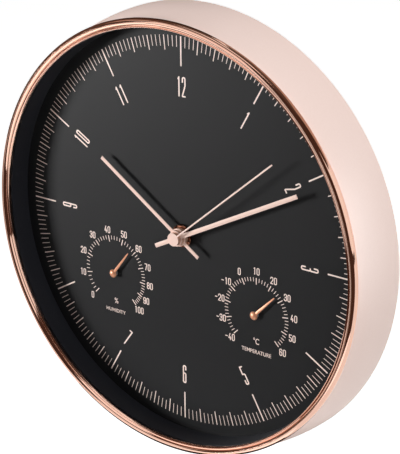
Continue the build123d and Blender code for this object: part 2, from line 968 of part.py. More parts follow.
def wheel(teeth, mate_teeth, distance, back, front, place, towards):
    """Driving or driven wheel with a tooth that points at its mate."""
    module = 2 * distance / (teeth + mate_teeth)
    return toothed(teeth, module, back, front, place, towards, True)


def pinion(teeth, mate_teeth, distance, back, front, place, towards):
    """Small wheel with a gap that points at its mate."""
    module = 2 * distance / (teeth + mate_teeth)
    return toothed(teeth, module, back, front, place, towards + 180 / teeth, False)


def rear_end(boss_end):
    return boss_end - bore_depth + arbor_end_gap


def front_end(boss_end):
    return boss_end + bore_depth - arbor_end_gap


def rotor_pinion():
    back = rear_end(rear_boss_end_rotor)
    front = front_end(front_boss_end_rotor)
    shape = tube(wheel_arbor_radius, 0, back, front, rotor_axis)
    heights = (rotor_pinion_back, rotor_pinion_front)
    towards = rotor_direction + 180
    sizes = (rotor_teeth, intermediate_teeth, rotor_distance)
    return shape + pinion(*sizes, *heights, rotor_axis, towards)


def intermediate_wheel():
    back = rear_end(rear_boss_end_intermediate)
    front = front_end(front_boss_end_intermediate)
    shape = tube(wheel_arbor_radius, 0, back, front, intermediate_axis)
    disc_front = intermediate_back + wheel_thickness
    sizes = (intermediate_teeth, rotor_teeth, rotor_distance)
    shape += wheel(*sizes, intermediate_back, disc_front, intermediate_axis, rotor_direction)
    sizes = (intermediate_pinion_teeth, second_teeth, intermediate_distance)
    towards = intermediate_direction + 180
    return shape + pinion(*sizes, disc_front, intermediate_pinion_front, intermediate_axis, towards)


def second_wheel():
    """Seconds wheel with its pinion and the long arbor that carries the second hand."""
    shape = tube(second_arbor_radius, 0, rear_end(rear_boss_end_second), second_hand_back)
    disc_front = second_back + wheel_thickness
    sizes = (second_teeth, intermediate_pinion_teeth, intermediate_distance)
    shape += wheel(*sizes, second_back, disc_front, (0, 0), intermediate_direction)
    sizes = (second_pinion_teeth, third_teeth, third_distance)
    return shape + pinion(*sizes, disc_front, second_pinion_front, (0, 0), third_direction)


def third_wheel():
    back = rear_end(rear_boss_end_third)
    front = front_end(front_boss_end_third)
    shape = tube(wheel_arbor_radius, 0, back, front, third_axis)
    towards = third_direction + 180
    sizes = (third_teeth, second_pinion_teeth, third_distance)
    shape += wheel(*sizes, third_back, third_back + wheel_thickness, third_axis, towards)
    sizes = (third_pinion_teeth, centre_teeth, third_distance)
    return shape + pinion(*sizes, third_pinion_back, third_pinion_front, third_axis, towards)


def centre_wheel():
    """Wheel held on the minute arbor by friction only, so that the hands can be set."""
    front = centre_back + wheel_thickness
    sizes = (centre_teeth, third_pinion_teeth, third_distance)
    disc = wheel(*sizes, centre_back, front, (0, 0), third_direction)
    bore = minute_arbor_radius + running_clearance
    return disc - tube(bore, 0, centre_back - overrun, front + overrun)


def minute_arbor():
    """Tube of the minute hand with the cannon pinion and the collars beside the centre wheel."""
    collar_front = centre_back - end_play
    collar_back = collar_front - minute_collar_thickness
    shoulder_back = centre_back + wheel_thickness + end_play
    front = minute_hand_back + hand_thickness
    shape = tube(minute_arbor_radius, 0, collar_back, front)
    shape += tube(minute_collar_radius, 0, collar_back, collar_front)
    shape += tube(minute_collar_radius, 0, shoulder_back, cannon_back)
    sizes = (cannon_teeth, minute_wheel_teeth, motion_distance)
    shape += pinion(*sizes, cannon_back, cannon_front, (0, 0), motion_direction)
    return shape - tube(second_bore, 0, collar_back - overrun, front + overrun)


def minute_wheel():
    """Wheel between the minute and hour tubes, with the arbor that the setting knob turns."""
    knob_back = movement_back - knob_gap - knob_thickness
    front = front_end(front_boss_end_minute)
    shape = tube(minute_wheel_arbor_radius, 0, knob_back, front, motion_axis)
    disc_front = minute_wheel_back + wheel_thickness
    towards = motion_direction + 180
    sizes = (minute_wheel_teeth, cannon_teeth, motion_distance)
    shape += wheel(*sizes, minute_wheel_back, disc_front, motion_axis, towards)
    sizes = (minute_pinion_teeth, hour_teeth, motion_distance)
    return shape + pinion(*sizes, disc_front, minute_pinion_front, motion_axis, towards)


def hour_wheel():
    """Hour wheel with the tube of the hour hand."""
    disc_front = hour_back + wheel_thickness
    sizes = (hour_teeth, minute_pinion_teeth, motion_distance)
    shape = wheel(*sizes, hour_back, disc_front, (0, 0), motion_direction)
    front = hour_hand_back + hand_thickness
    shape += tube(hour_tube_radius, 0, hour_back, front)
    return shape - tube(hour_tube_bore, 0, hour_back - overrun, front + overrun)


def setting_knob():
    """Fluted disc behind the movement, pressed on the minute wheel's arbor."""
    front = movement_back - knob_gap
    back = front - knob_thickness
    face = Circle(knob_radius) - Circle(minute_wheel_arbor_radius)
    for flute in range(knob_flutes):
        face -= Pos(*polar(knob_radius, 360 * flute / knob_flutes)) * Circle(knob_flute_radius)
    return slab(face, back, front, *motion_axis)


# Instruments behind the small dials

def gauge_cup(place):
    """Shallow cup against the back of the dial, open behind but for a bridge with a bearing."""
    inner = cup_radius - cup_wall
    cup = tube(cup_radius, 0, cup_back, dial_back, place)
    cup -= tube(inner, 0, cup_back - overrun, dial_back - cup_wall, place)
    neck_front = dial_front + cup_neck_rise
    cup += tube(cup_neck_radius, 0, dial_back, neck_front, place)
    bridge_front = cup_back + cup_wall
    cup += slab(Rectangle(2 * inner, cup_bridge_width), cup_back, bridge_front, *place)
    post_x = place[0] + inner - cup_post_width / 2
    post = Rectangle(cup_post_width, cup_post_width)
    cup += slab(post, bridge_front, coil_strip_back, post_x, place[1])
    bore = gauge_arbor_radius + running_clearance
    return cup - tube(bore, 0, cup_back - overrun, neck_front + overrun, place)


def gauge_coil(place, turns):
    """Flat spiral strip of half circles, from the arbor's collar out to the cup's post."""
    start = gauge_collar_radius + coil_inner_gap + coil_strip_thickness / 2
    end = cup_radius - cup_wall - cup_post_width / 2
    halves = 2 * turns
    growth = (end - start) / halves
    arcs = []
    near = start
    for half in range(halves):
        side = -1 if half % 2 else 1
        far = -side * (start + (half + 1) * growth)
        middle = (near + far) / 2
        arcs.append(ThreePointArc((near, 0), (middle, (near - far) / 2), (far, 0)))
        near = far
    strip = Wire(arcs).offset_2d(coil_strip_thickness / 2, side=Side.BOTH)
    front = coil_strip_back + coil_strip_height
    return slab(make_face(strip.edges()), coil_strip_back, front, *place)


def gauge_arbor(place):
    front = dial_front + gauge_arbor_rise
    shape = tube(gauge_arbor_radius, 0, cup_back, front, place)
    collar_front = coil_strip_back + coil_strip_height
    return shape + tube(gauge_collar_radius, 0, coil_strip_back, collar_front, place)


def gauge_pointer(place, degrees):
    """Round hub with a needle that tapers to a rounded tip."""
    back = dial_front + gauge_pointer_rise
    tip_radius = gauge_pointer_tip / 2
    shoulder = gauge_pointer_length - tip_radius
    half = gauge_pointer_root / 2
    needle = make_face([
        Line((-half, 0), (-tip_radius, shoulder)),
        ThreePointArc((-tip_radius, shoulder), (0, gauge_pointer_length), (tip_radius, shoulder)),
        Line((tip_radius, shoulder), (half, 0)),
        Line((half, 0), (-half, 0)),
    ])
    turned_needle = Pos(*place) * Rot(0, 0, -degrees) * needle
    shape = slab(turned_needle, back, back + gauge_pointer_thickness)
    shape += tube(gauge_hub_radius, 0, back, back + gauge_hub_thickness, place)
    front = back + gauge_hub_thickness + overrun
    return shape - tube(gauge_arbor_radius, 0, back - overrun, front, place)


# Back cover and hanger

def screw_places():
    step = 360 / screw_count
    degrees = [screw_first_degrees + number * step for number in range(screw_count)]
    return [clock_place(screw_circle_radius, angle) for angle in degrees]


def vent_slots(centre):
    """Upright row of level slots behind an instrument."""
    slots = []
    for number in range(vents_per_gauge):
        shift = (number - (vents_per_gauge - 1) / 2) * vent_spacing
        slots.append(Pos(centre[0], centre[1] + shift) * SlotOverall(vent_length, vent_width))
    return slots


def back_cover():
    """Plastic back with a rib that clamps the dial and a framed window for the movement."""
    panel_front = cover_panel_back + cover_panel_thickness
    rib_inner = cover_rib_radius - cover_rib_wall
    cover = tube(cover_radius, rib_inner, cover_rim_back, case_flange_back)
    cover += tube(cover_rib_radius, rib_inner, case_flange_back, dial_back)
    cover += tube(rib_inner + overrun, 0, cover_panel_back, panel_front)
    window = movement_size + 2 * window_gap
    corner = movement_corner + window_gap
    frame = window + 2 * window_frame_width
    frame_face = RectangleRounded(frame, frame, corner + window_frame_width)
    cover += slab(frame_face, cover_panel_back - window_frame_rise, cover_panel_back)
    opening = RectangleRounded(window, window, corner)
    cover -= slab(opening, cover_rim_back - overrun, panel_front + overrun)
    for centre in ((hygrometer_x, hygrometer_z), (thermometer_x, thermometer_z)):
        for slot in vent_slots(centre):
            cover -= slab(slot, cover_panel_back - overrun, panel_front + overrun)
    pocket = Rectangle(hanger_pocket_length, hanger_pocket_width)
    cover -= slab(pocket, cover_panel_back - overrun, panel_front + overrun, 0, hanger_z)
    for side in (-1, 1):
        place = (side * hanger_screw_x, hanger_z)
        depth = panel_front + overrun
        cover -= tube(hanger_screw_radius, 0, cover_panel_back - overrun, depth, place)
    head = screw_head_radius + screw_head_gap
    seat = cover_rim_back + screw_counterbore
    for place in screw_places():
        cover -= tube(head, 0, cover_rim_back - overrun, seat, place)
        cover -= tube(screw_radius, 0, cover_rim_back, case_flange_back + overrun, place)
    return cover


def slotted_screw(place, seat, head_radius, head_thickness, radius, length):
    """Screw driven from behind: its head lies behind the seat and its shank before it."""
    back = seat - head_thickness
    shape = tube(head_radius, 0, back, seat, place) + tube(radius, 0, seat, seat + length, place)
    slot = Rectangle(2 * head_radius + overrun, screw_slot_width)
    return shape - slab(slot, back - overrun, back + screw_slot_depth_share * head_thickness, *place)


def back_screws():
    seat = cover_rim_back + screw_counterbore
    sizes = (screw_head_radius, screw_head_thickness, screw_radius, screw_length)
    return [slotted_screw(place, seat, *sizes) for place in screw_places()]


def hanger_plate():
    """Steel plate with a round hole for a screw's head and a slot above it for its shank."""
    plate = RectangleRounded(hanger_length, hanger_width, hanger_corner)
    plate -= Pos(0, -keyhole_drop) * Circle(keyhole_radius)
    slot_length = keyhole_drop + keyhole_slot_rise
    middle = (keyhole_slot_rise - keyhole_drop) / 2
    plate -= Pos(0, middle) * Rectangle(2 * keyhole_slot_radius, slot_length)
    plate -= Pos(0, keyhole_slot_rise) * Circle(keyhole_slot_radius)
    for side in (-1, 1):
        plate -= Pos(side * hanger_screw_x, 0) * Circle(hanger_screw_radius)
    return slab(plate, cover_panel_back - hanger_thickness, cover_panel_back, 0, hanger_z)


def hanger_screws():
    seat = cover_panel_back - hanger_thickness
    head = (hanger_screw_head_radius, hanger_screw_head_thickness)
    sizes = (*head, hanger_screw_radius, hanger_screw_length)
    places = [(side * hanger_screw_x, hanger_z) for side in (-1, 1)]
    return [slotted_screw(place, seat, *sizes) for place in places]


def write_all():
    os.makedirs("parts", exist_ok=True)
    makers = [
        case_side, bezel_ring, lens_gasket, glass_lens, inner_ring, dial_plate,
        minute_track, hour_numerals,
        hour_hand, minute_hand, second_hand,
        fixing_nut, dial_washer, rubber_washer, threaded_bush,
        movement_front_shell, movement_back_shell,
        battery_cell, positive_contact, negative_contact,
        circuit_board, driver_chip, quartz_crystal,
        stator, coil_core, coil_bobbin, coil_winding, rotor_magnet, rotor_pinion,
        intermediate_wheel, second_wheel, third_wheel, centre_wheel,
        minute_arbor, minute_wheel, hour_wheel, setting_knob,
        back_cover, back_screws, hanger_plate, hanger_screws,
    ]
    for maker in makers:
        save(maker(), maker.__name__)
    hygrometer = (hygrometer_x, hygrometer_z)
    thermometer = (thermometer_x, thermometer_z)
    save(gauge_scale(hygrometer, humidity_degrees, humidity_numbers,
                     humidity_mark_radius, humidity_number_radius), "humidity_scale")
    save(gauge_scale(thermometer, temperature_degrees, temperature_numbers,
                     temperature_mark_radius, temperature_number_radius), "temperature_scale")
    gauges = [
        ("hygrometer", hygrometer, humidity_pointer_degrees, hygrometer_coil_turns),
        ("thermometer", thermometer, temperature_pointer_degrees, thermometer_coil_turns),
    ]
    for name, place, degrees, turns in gauges:
        save(gauge_cup(place), f"{name}_cup")
        save(gauge_coil(place, turns), f"{name}_coil")
        save(gauge_arbor(place), f"{name}_arbor")
        save(gauge_pointer(place, degrees), f"{name}_pointer")


write_all()
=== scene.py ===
import bpy
import bmesh
import json
import math
from mathutils import Matrix, Vector


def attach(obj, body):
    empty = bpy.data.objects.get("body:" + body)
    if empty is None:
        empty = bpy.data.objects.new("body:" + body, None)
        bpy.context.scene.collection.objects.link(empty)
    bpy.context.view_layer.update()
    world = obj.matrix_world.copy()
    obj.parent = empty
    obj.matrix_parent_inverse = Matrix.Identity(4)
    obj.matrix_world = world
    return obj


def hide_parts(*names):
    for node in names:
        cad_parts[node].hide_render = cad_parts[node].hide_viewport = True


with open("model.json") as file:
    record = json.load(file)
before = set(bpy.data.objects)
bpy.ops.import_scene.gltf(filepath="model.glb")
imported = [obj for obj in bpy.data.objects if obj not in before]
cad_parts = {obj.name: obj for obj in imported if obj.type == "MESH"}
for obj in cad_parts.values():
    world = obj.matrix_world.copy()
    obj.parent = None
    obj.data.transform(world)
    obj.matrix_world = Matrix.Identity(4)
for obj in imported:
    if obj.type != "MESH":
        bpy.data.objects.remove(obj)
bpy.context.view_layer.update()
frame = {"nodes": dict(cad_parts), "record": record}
scene = bpy.context.scene
mm = 0.001
print("frame loaded:", len(frame["nodes"]), "nodes")


def srgb(code):
    parts = [int(code[i:i + 2], 16) / 255 for i in (1, 3, 5)]
    return tuple(p / 12.92 if p <= 0.04045 else ((p + 0.055) / 1.055) ** 2.4 for p in parts) + (1.0,)


def addNode(tree, kind, inputs=None, **settings):
    node = tree.nodes.new(kind)
    for name, value in settings.items():
        setattr(node, name, value)
    for socket, value in (inputs or {}).items():
        if isinstance(value, bpy.types.NodeSocket):
            tree.links.new(value, node.inputs[socket])
        else:
            node.inputs[socket].default_value = value
    return node


def newMaterial(name):
    # Material with an empty tree
    material = bpy.data.materials.new(name)
    material.use_nodes = True
    material.node_tree.nodes.clear()
    return material, material.node_tree


# Camera, at the photograph's angle and distance
camera = {
    "azimuth": 38.947, "elevation": 20.403,         # degrees, of the camera seen from the dial's middle
    "distance": 1.0013, "target": (0, -21 * mm, 0),   # metres
    "yaw": -0.633, "pitch": 0.301, "roll": 0.694,   # degrees off the line to the dial's middle
    "focalPixels": 1544.34, "imageHeight": 454,
    "sensorWidth": 36, "clip": (0.05, 40),
}


def placeCamera():
    az, el = math.radians(camera["azimuth"]), math.radians(camera["elevation"])
    back = Vector((math.sin(az) * math.cos(el), -math.cos(az) * math.cos(el), math.sin(el)))
    right = Vector((0, 0, 1)).cross(back).normalized()
    axes = Matrix((right, back.cross(right), back)).transposed()
    for name, column, way in (("yaw", 1, 1), ("pitch", 0, 1), ("roll", 2, -1)):
        axes = Matrix.Rotation(way * math.radians(camera[name]), 3, axes.col[column].copy()) @ axes
    data = bpy.data.cameras.new("camera")
    data.sensor_width = camera["sensorWidth"]
    data.lens = camera["focalPixels"] * camera["sensorWidth"] / camera["imageHeight"]
    data.clip_start, data.clip_end = camera["clip"]
    made = bpy.data.objects.new("camera", data)
    scene.collection.objects.link(made)
    place = Vector(camera["target"]) + back * camera["distance"]
    made.matrix_world = Matrix.Translation(place) @ axes.to_4x4()
    scene.camera = made


placeCamera()
print("camera placed")


# Studio: white surroundings, a pale floor far below, a soft key lamp at the left, and lamps at the
# right, above and below. Dark walls, bright soft boxes and a white table close under the clock stand
# where only polished and satin surfaces see them.
studio = {
    "worldLight": 0.14,   # strength of the white world on dull surfaces
    "floorHeight": -1.2, "floorSize": 30.0, "floorColour": "#e6e4e2",
    "floorShown": 0.87,   # glow that keeps the floor white where no shadow falls
    "lamps": {   # place, what it is turned to, width, height, power
        "keyLamp": ((-1.95, -1.62, -0.15), (0, -0.02, 0), 0.6, 0.6, 68.0),
        "sideLamp": ((2.15, -0.90, 0.50), (0, 0, 0), 2.0, 1.0, 22.0),
        "sheenLamp": ((2.25, 0.38, 0.10), (0, 0, 0), 0.9, 1.8, 48.0),
        "topLamp": ((0.70, -0.25, 2.20), (0, 0, 0), 1.6, 1.2, 34.0),
        "lowLamp": ((0.50, 0.25, -1.10), (0.05, 0, -0.1), 0.9, 0.9, 3.5),
    },
    "shineOnDull": ("keyLamp", "sheenLamp"),   # lamps whose shine satin surfaces show
    "shineOnly": ("sheenLamp",),               # lamps that give that shine and no other light
    "wallDistance": 2.2, "wallColumns": 24, "wallRows": 12,
    "walls": {   # azimuth from and to (0 in front, 90 at the right), elevation from and to, in degrees,
        # colour, strength, and how much nearer than the wall distance
        "rearLeftWall": (-155, -118, -34, 52, "#35221b", 1.0, 0.02),
        "rearWall": (-182, -154, -34, 52, "#b39c90", 1.0, 0.01),
        "leftWall": (-120, -60, -34, 52, "#5d463b", 1.0, 0.0),
        "frontWall": (-60, 117, -34, 54, "#463229", 1.0, 0.0),
        "highRightWall": (115, 182, 28, 55, "#b69d8f", 1.0, 0.02),
        "highWall": (20, 200, 54, 78, "#5a4a42", 1.0, 0.0),
        "leftHighWall": (-150, -50, 52, 78, "#65564d", 1.0, 0.0),
        "zenithWall": (-180, 180, 76, 90, "#65554b", 1.0, 0.05),
        "keyBox": (-41, -24, -20, 3, "#ffffff", 1.1, 0.1),
        "keyBoxHigh": (-42, -14, 3, 25, "#ffffff", 1.05, 0.1),
        "keyGlow": (-66, -12, 25, 36, "#cbb8ac", 1.0, 0.1),
        "keyFringe": (-43, -31, -28, -20, "#d9d0ca", 1.0, 0.12),
        "rightBox": (44, 117, -4, 31, "#ffffff", 1.05, 0.1),
        "highBox": (-60, 26, 54, 76, "#ffffff", 1.2, 0.1),
        "lowWall": (-180, 180, -89, -32, "#3c2a22", 1.0, 0.05),
    },
    "cards": {   # height, x from and to, y from and to, colour, strength
        "tableCard": (-0.153, -1.2, 1.2, -0.14, 1.2, "#ffffff", 1.0),        # white table under the clock
        "shadeCard": (-0.1525, -0.115, 0.095, -0.054, 0.3, "#2a1c16", 1.0),  # its shade below the rim
        "gleamCard": (-0.1525, -0.16, 0.1, -0.08, -0.054, "#ffffff", 1.6),   # bright strip before the rim
    },
}
white = (1, 1, 1, 1)


def background(tree):
    # 1 for what the camera sees straight, mirrored or through glass
    path = addNode(tree, "ShaderNodeLightPath")
    seen = addNode(tree, "ShaderNodeMath", {0: path.outputs["Is Camera Ray"], 1: path.outputs["Is Glossy Ray"]},
                   operation="MAXIMUM")
    return addNode(tree, "ShaderNodeMath", {0: seen.outputs[0], 1: path.outputs["Is Transmission Ray"]},
                   operation="MAXIMUM").outputs[0]


def makeWorld():
    world = bpy.data.worlds.new("studio")
    world.use_nodes = True
    scene.world = world
    tree = world.node_tree
    tree.nodes.clear()
    dull = addNode(tree, "ShaderNodeBackground", {"Color": white, "Strength": studio["worldLight"]})
    shown = addNode(tree, "ShaderNodeBackground", {"Color": white, "Strength": 1.0})
    mix = addNode(tree, "ShaderNodeMixShader", {0: background(tree), 1: dull.outputs[0], 2: shown.outputs[0]})
    addNode(tree, "ShaderNodeOutputWorld", {"Surface": mix.outputs[0]})


def stageMesh(name, points, faces, material):
    mesh = bpy.data.meshes.new(name)
    mesh.from_pydata(points, [], faces)
    mesh.materials.append(material)
    made = bpy.data.objects.new(name, mesh)
    scene.collection.objects.link(made)
    return made


def stagePlane(name, xFrom, xTo, yFrom, yTo, height, material):
    corners = [(xFrom, yFrom, height), (xTo, yFrom, height), (xTo, yTo, height), (xFrom, yTo, height)]
    return stageMesh(name, corners, [(0, 1, 2, 3)], material)


def makeFloor():
    # Matt white paint
    material, tree = newMaterial("paintedFloor")
    paint = addNode(tree, "ShaderNodeBsdfDiffuse", {"Color": srgb(studio["floorColour"])})
    strength = addNode(tree, "ShaderNodeMath", {0: background(tree), 1: studio["floorShown"]},
                       operation="MULTIPLY")
    glow = addNode(tree, "ShaderNodeEmission", {"Color": white, "Strength": strength.outputs[0]})
    both = addNode(tree, "ShaderNodeAddShader", {0: paint.outputs[0], 1: glow.outputs[0]})
    addNode(tree, "ShaderNodeOutputMaterial", {"Surface": both.outputs[0]})
    reach = studio["floorSize"] / 2
    stagePlane("floor", -reach, reach, -reach, reach, studio["floorHeight"], material)


def makeLamp(name, place, target, width, height, power):
    data = bpy.data.lights.new(name, "AREA")
    data.shape = "RECTANGLE"
    data.size, data.size_y = width, height
    data.energy = power
    made = bpy.data.objects.new(name, data)
    scene.collection.objects.link(made)
    made.location = place
    made.rotation_mode = "QUATERNION"
    made.rotation_quaternion = (Vector(target) - Vector(place)).to_track_quat("-Z", "Y")
    made.visible_glossy = name in studio["shineOnDull"]
    made.visible_diffuse = name not in studio["shineOnly"]


def glowMaterial(name, colour, strength):
    material, tree = newMaterial(name)
    glow = addNode(tree, "ShaderNodeEmission", {"Color": srgb(colour), "Strength": strength})
    addNode(tree, "ShaderNodeOutputMaterial", {"Surface": glow.outputs[0]})
    return material


def mirrorOnly(made):
    for kind in ("camera", "diffuse", "transmission", "volume_scatter", "shadow"):
        setattr(made, "visible_" + kind, False)


def makeWall(name, azFrom, azTo, elFrom, elTo, colour, strength, nearer):
    # Curved panel round the clock
    columns, rows = studio["wallColumns"], studio["wallRows"]
    distance = studio["wallDistance"] - nearer
    points, faces = [], []
    for row in range(rows + 1):
        el = math.radians(elFrom + (elTo - elFrom) * row / rows)
        for column in range(columns + 1):
            az = math.radians(azFrom + (azTo - azFrom) * column / columns)
            points.append((distance * math.sin(az) * math.cos(el), -distance * math.cos(az) * math.cos(el),
                           distance * math.sin(el)))
    for row in range(rows):
        for column in range(columns):
            i = row * (columns + 1) + column
            faces.append((i, i + 1, i + columns + 2, i + columns + 1))
    mirrorOnly(stageMesh(name, points, faces, glowMaterial(name, colour, strength)))


def makeCard(name, height, xFrom, xTo, yFrom, yTo, colour, strength):
    # Level panel close to the clock
    mirrorOnly(stagePlane(name, xFrom, xTo, yFrom, yTo, height, glowMaterial(name, colour, strength)))


makeWorld()
makeFloor()
for name, card in studio["cards"].items():
    makeCard(name, *card)
for name, lamp in studio["lamps"].items():
    makeLamp(name, *lamp)
for name, wall in studio["walls"].items():
    makeWall(name, *wall)
scene.view_settings.view_transform = "Standard"
print("studio lit")


# Materials. A finish is a colour that drifts to a second one over grain of a real size, with a
# fine bump and an uneven gloss of the same grain.
grainLook = {"detail": 3.0, "roughness": 0.6, "bumpStrength": 0.6, "leastRoughness": 0.02, "coatRoughness": 0.1}


def makeFinish(name, colour, second, roughness, grainMm, metallic=0.0, ior=None, bumpMm=0.0, uneven=0.04,
               stretch=(1, 1, 1), coat=0.0, shine=0.5):
    material = bpy.data.materials.new(name)
    material.use_nodes = True
    tree = material.node_tree
    shader = tree.nodes["Principled BSDF"]
    values = {"Metallic": metallic, "Specular IOR Level": shine}
    if ior:
        values["IOR"] = ior
    if coat:
        values.update({"Coat Weight": coat, "Coat Roughness": grainLook["coatRoughness"]})
    for socket, value in values.items():
        shader.inputs[socket].default_value = value
    place = addNode(tree, "ShaderNodeTexCoord")
    mapping = addNode(tree, "ShaderNodeMapping", {"Vector": place.outputs["Object"], "Scale": stretch})
    grain = addNode(tree, "ShaderNodeTexNoise", {
        "Vector": mapping.outputs[0], "Scale": 1 / (grainMm * mm), "Detail": grainLook["detail"],
        "Roughness": grainLook["roughness"]})
    tint = addNode(tree, "ShaderNodeMix", {0: grain.outputs[0], 6: srgb(colour), 7: srgb(second)},
                   data_type="RGBA")
    tree.links.new(tint.outputs[2], shader.inputs["Base Color"])
    gloss = addNode(tree, "ShaderNodeMapRange", {
        0: grain.outputs[0], 3: max(roughness - uneven, grainLook["leastRoughness"]), 4: roughness + uneven})
    tree.links.new(gloss.outputs[0], shader.inputs["Roughness"])
    if bumpMm:
        bump = addNode(tree, "ShaderNodeBump", {"Height": grain.outputs[0], "Distance": bumpMm * mm,
                                                "Strength": grainLook["bumpStrength"]})
        tree.links.new(bump.outputs[0], shader.inputs["Normal"])
    return material


finishes = {   # two colours, roughness, grain in millimetres
    # Plated and polished zinc: a clear copper-coloured mirror
    "bezel_metal": makeFinish("polishedRosePlating", "#f0c4b0", "#ecbda8", 0.06, 18, metallic=1.0,
                              uneven=0.015),
    # Spun aluminium under a satin rose lacquer: soft, pale, no mirror image
    "case_lacquer": makeFinish("satinRoseLacquer", "#f1dad2", "#edd4cb", 0.45, 1.2, bumpMm=0.004),
    # Matt lacquer of the dial: charcoal with a faint fine grain and a weak, wide shine
    "dial_lacquer": makeFinish("mattCharcoalLacquer", "#1e1e1f", "#1b1b1c", 0.44, 0.8, ior=1.5, bumpMm=0.001,
                               uneven=0.02, shine=0.08),
    # Screen-printed ink: pale rose, slightly raised, soft gloss
    "printed_rose": makeFinish("roseInk", "#f6e2d8", "#edd4c8", 0.45, 0.5),
    # Stamped aluminium hands with a pale rose coat: even, nearly matt
    "hand_metal": makeFinish("paleRoseCoat", "#eacbbe", "#e6c3b5", 0.4, 2.0, shine=0.3),
    # Plated nut: a small copper mirror behind the hands, its colour darkened as painted shade for the shaded
    # parts it mirrors there
    "nut_metal": makeFinish("copperPlatingWithPaintedShade", "#8f6350", "#835745", 0.12, 4.0, metallic=1.0),
    # Lacquered pointers: warm copper, brighter along the ridge
    "pointer_lacquer": makeFinish("copperLacquer", "#d99a78", "#cf8d6a", 0.30, 1.5, metallic=0.35),
    # Black plastic ring: satin moulding, a cool grey where light grazes it
    "black_plastic": makeFinish("satinBlackAbs", "#2b2c32", "#25262b", 0.42, 0.9, ior=1.53, bumpMm=0.004),
    # Rubber: dull black, no shine
    "gasket_rubber": makeFinish("blackRubber", "#141414", "#1a1a1a", 0.75, 0.6, ior=1.52, bumpMm=0.01),
    # Spark-eroded plastic back: fine even texture
    "back_plastic": makeFinish("texturedBlackAbs", "#232325", "#1c1c1e", 0.58, 0.7, ior=1.53, bumpMm=0.03),
    # Movement case: smoother and a little glossier than the back
    "shell_plastic": makeFinish("mouldedBlackPolystyrene", "#1b1b1d", "#161617", 0.42, 1.0, ior=1.59,
                                bumpMm=0.008),
    # Gear wheels: waxy off-white
    "wheel_plastic": makeFinish("acetalWhite", "#e4e0d4", "#dad5c7", 0.38, 1.5, ior=1.48),
    # Setting knob: waxy ivory
    "knob_plastic": makeFinish("acetalIvory", "#ddd8cb", "#d2ccbd", 0.4, 1.2, ior=1.48, bumpMm=0.004),
    # Cups of the small instruments: plain mid grey
    "cup_plastic": makeFinish("mouldedGreyAbs", "#8b8c8c", "#7f8080", 0.5, 0.9, ior=1.53, bumpMm=0.006),
    # Turned brass: warm yellow with fine turning lines
    "brass": makeFinish("turnedBrass", "#d9b36c", "#cfa65c", 0.25, 0.6, metallic=1.0, stretch=(1, 8, 1)),
    # Zinc-plated sheet: cool grey with cloudy patches
    "steel": makeFinish("zincPlatedSteel", "#c3c4c2", "#a9adb0", 0.32, 2.5, metallic=1.0, bumpMm=0.004,
                        uneven=0.08),
    # Zinc-plated screws: finer and a little brighter than the sheet
    "screw_steel": makeFinish("zincPlatedScrew", "#b9babb", "#a3a6a8", 0.28, 0.9, metallic=1.0, uneven=0.06),
    # Rolled iron: dull grey with lines of the rolling
    "soft_iron": makeFinish("coldRolledIron", "#a4a4a6", "#8e8f92", 0.4, 0.7, metallic=1.0, stretch=(1, 1, 6)),
    # Ferrite: dark, grainy, nearly matt
    "magnet": makeFinish("sinteredFerrite", "#3a3b3e", "#2c2d30", 0.55, 0.3, bumpMm=0.01),
    # Bobbin: milky, soft gloss
    "bobbin_plastic": makeFinish("mouldedNylon", "#d8d6cf", "#cbc8be", 0.45, 0.8, ior=1.53),
    # Wound wire: red-brown with fine turns across the coil
    "copper_wire": makeFinish("enamelledCopper", "#b4562c", "#8c3d1c", 0.35, 0.12, metallic=0.8,
                              stretch=(1, 0.2, 0.2), bumpMm=0.04),
    # Circuit board: glossy green
    "board": makeFinish("solderMask", "#1f6b45", "#1a5d3b", 0.35, 1.4, ior=1.55, coat=0.4),
    # Resin over the chip: black and finely grained
    "chip_resin": makeFinish("mouldedEpoxy", "#1a1a1b", "#222223", 0.5, 0.2, ior=1.55, bumpMm=0.01),
    # Quartz can: bright silver drawn along its length
    "crystal_can": makeFinish("drawnNickelSilver", "#c7c6c1", "#b3b2ad", 0.22, 0.4, metallic=1.0,
                              stretch=(0.2, 1, 1)),
    # Battery sleeve: plain blue under a clear film
    "battery_wrap": makeFinish("printedBatteryWrap", "#3d5a78", "#36506c", 0.3, 2.0, ior=1.5, coat=0.3),
    # Battery contacts: bright, slightly warm silver
    "contact_spring": makeFinish("nickelPlatedSpring", "#c9c8c2", "#b5b4ae", 0.3, 0.9, metallic=1.0),
    # Thermometer coil: straw-coloured rolled strip
    "bimetal": makeFinish("rolledBimetal", "#b9a37c", "#a58c64", 0.35, 0.4, metallic=1.0, stretch=(1, 6, 1)),
    # Hygrometer coil: paper on metal, dull tan with fibres
    "humidity_strip": makeFinish("laminatedPaperStrip", "#cfc3a6", "#bfb18f", 0.7, 0.3, bumpMm=0.02),
}
# Turned hub sides of the hands: plating with a soft copper shine
skirtMetal = makeFinish("turnedRosePlating", "#efc4ab", "#e9baa0", 0.32, 3.0, metallic=0.5)
# facing is 0 straight on and 1 edge on
glass = {"clearUpTo": 0.4, "mostShine": 0.6, "roughness": 0.03}


def makeGlass():
    # Float glass with an anti-reflective coat: clear from the front, a thin mirror at a flat angle
    material, tree = newMaterial("coatedFloatGlass")
    angle = addNode(tree, "ShaderNodeLayerWeight", {"Blend": 0.5})
    shine = addNode(tree, "ShaderNodeMapRange", {
        0: angle.outputs["Facing"], 1: glass["clearUpTo"], 2: 1.0, 3: 0.0, 4: glass["mostShine"]})
    clear = addNode(tree, "ShaderNodeBsdfTransparent", {"Color": white})
    mirror = addNode(tree, "ShaderNodeBsdfGlossy", {"Color": white, "Roughness": glass["roughness"]})
    mix = addNode(tree, "ShaderNodeMixShader", {0: shine.outputs[0], 1: clear.outputs[0], 2: mirror.outputs[0]})
    addNode(tree, "ShaderNodeOutputMaterial", {"Surface": mix.outputs[0]})
    return material


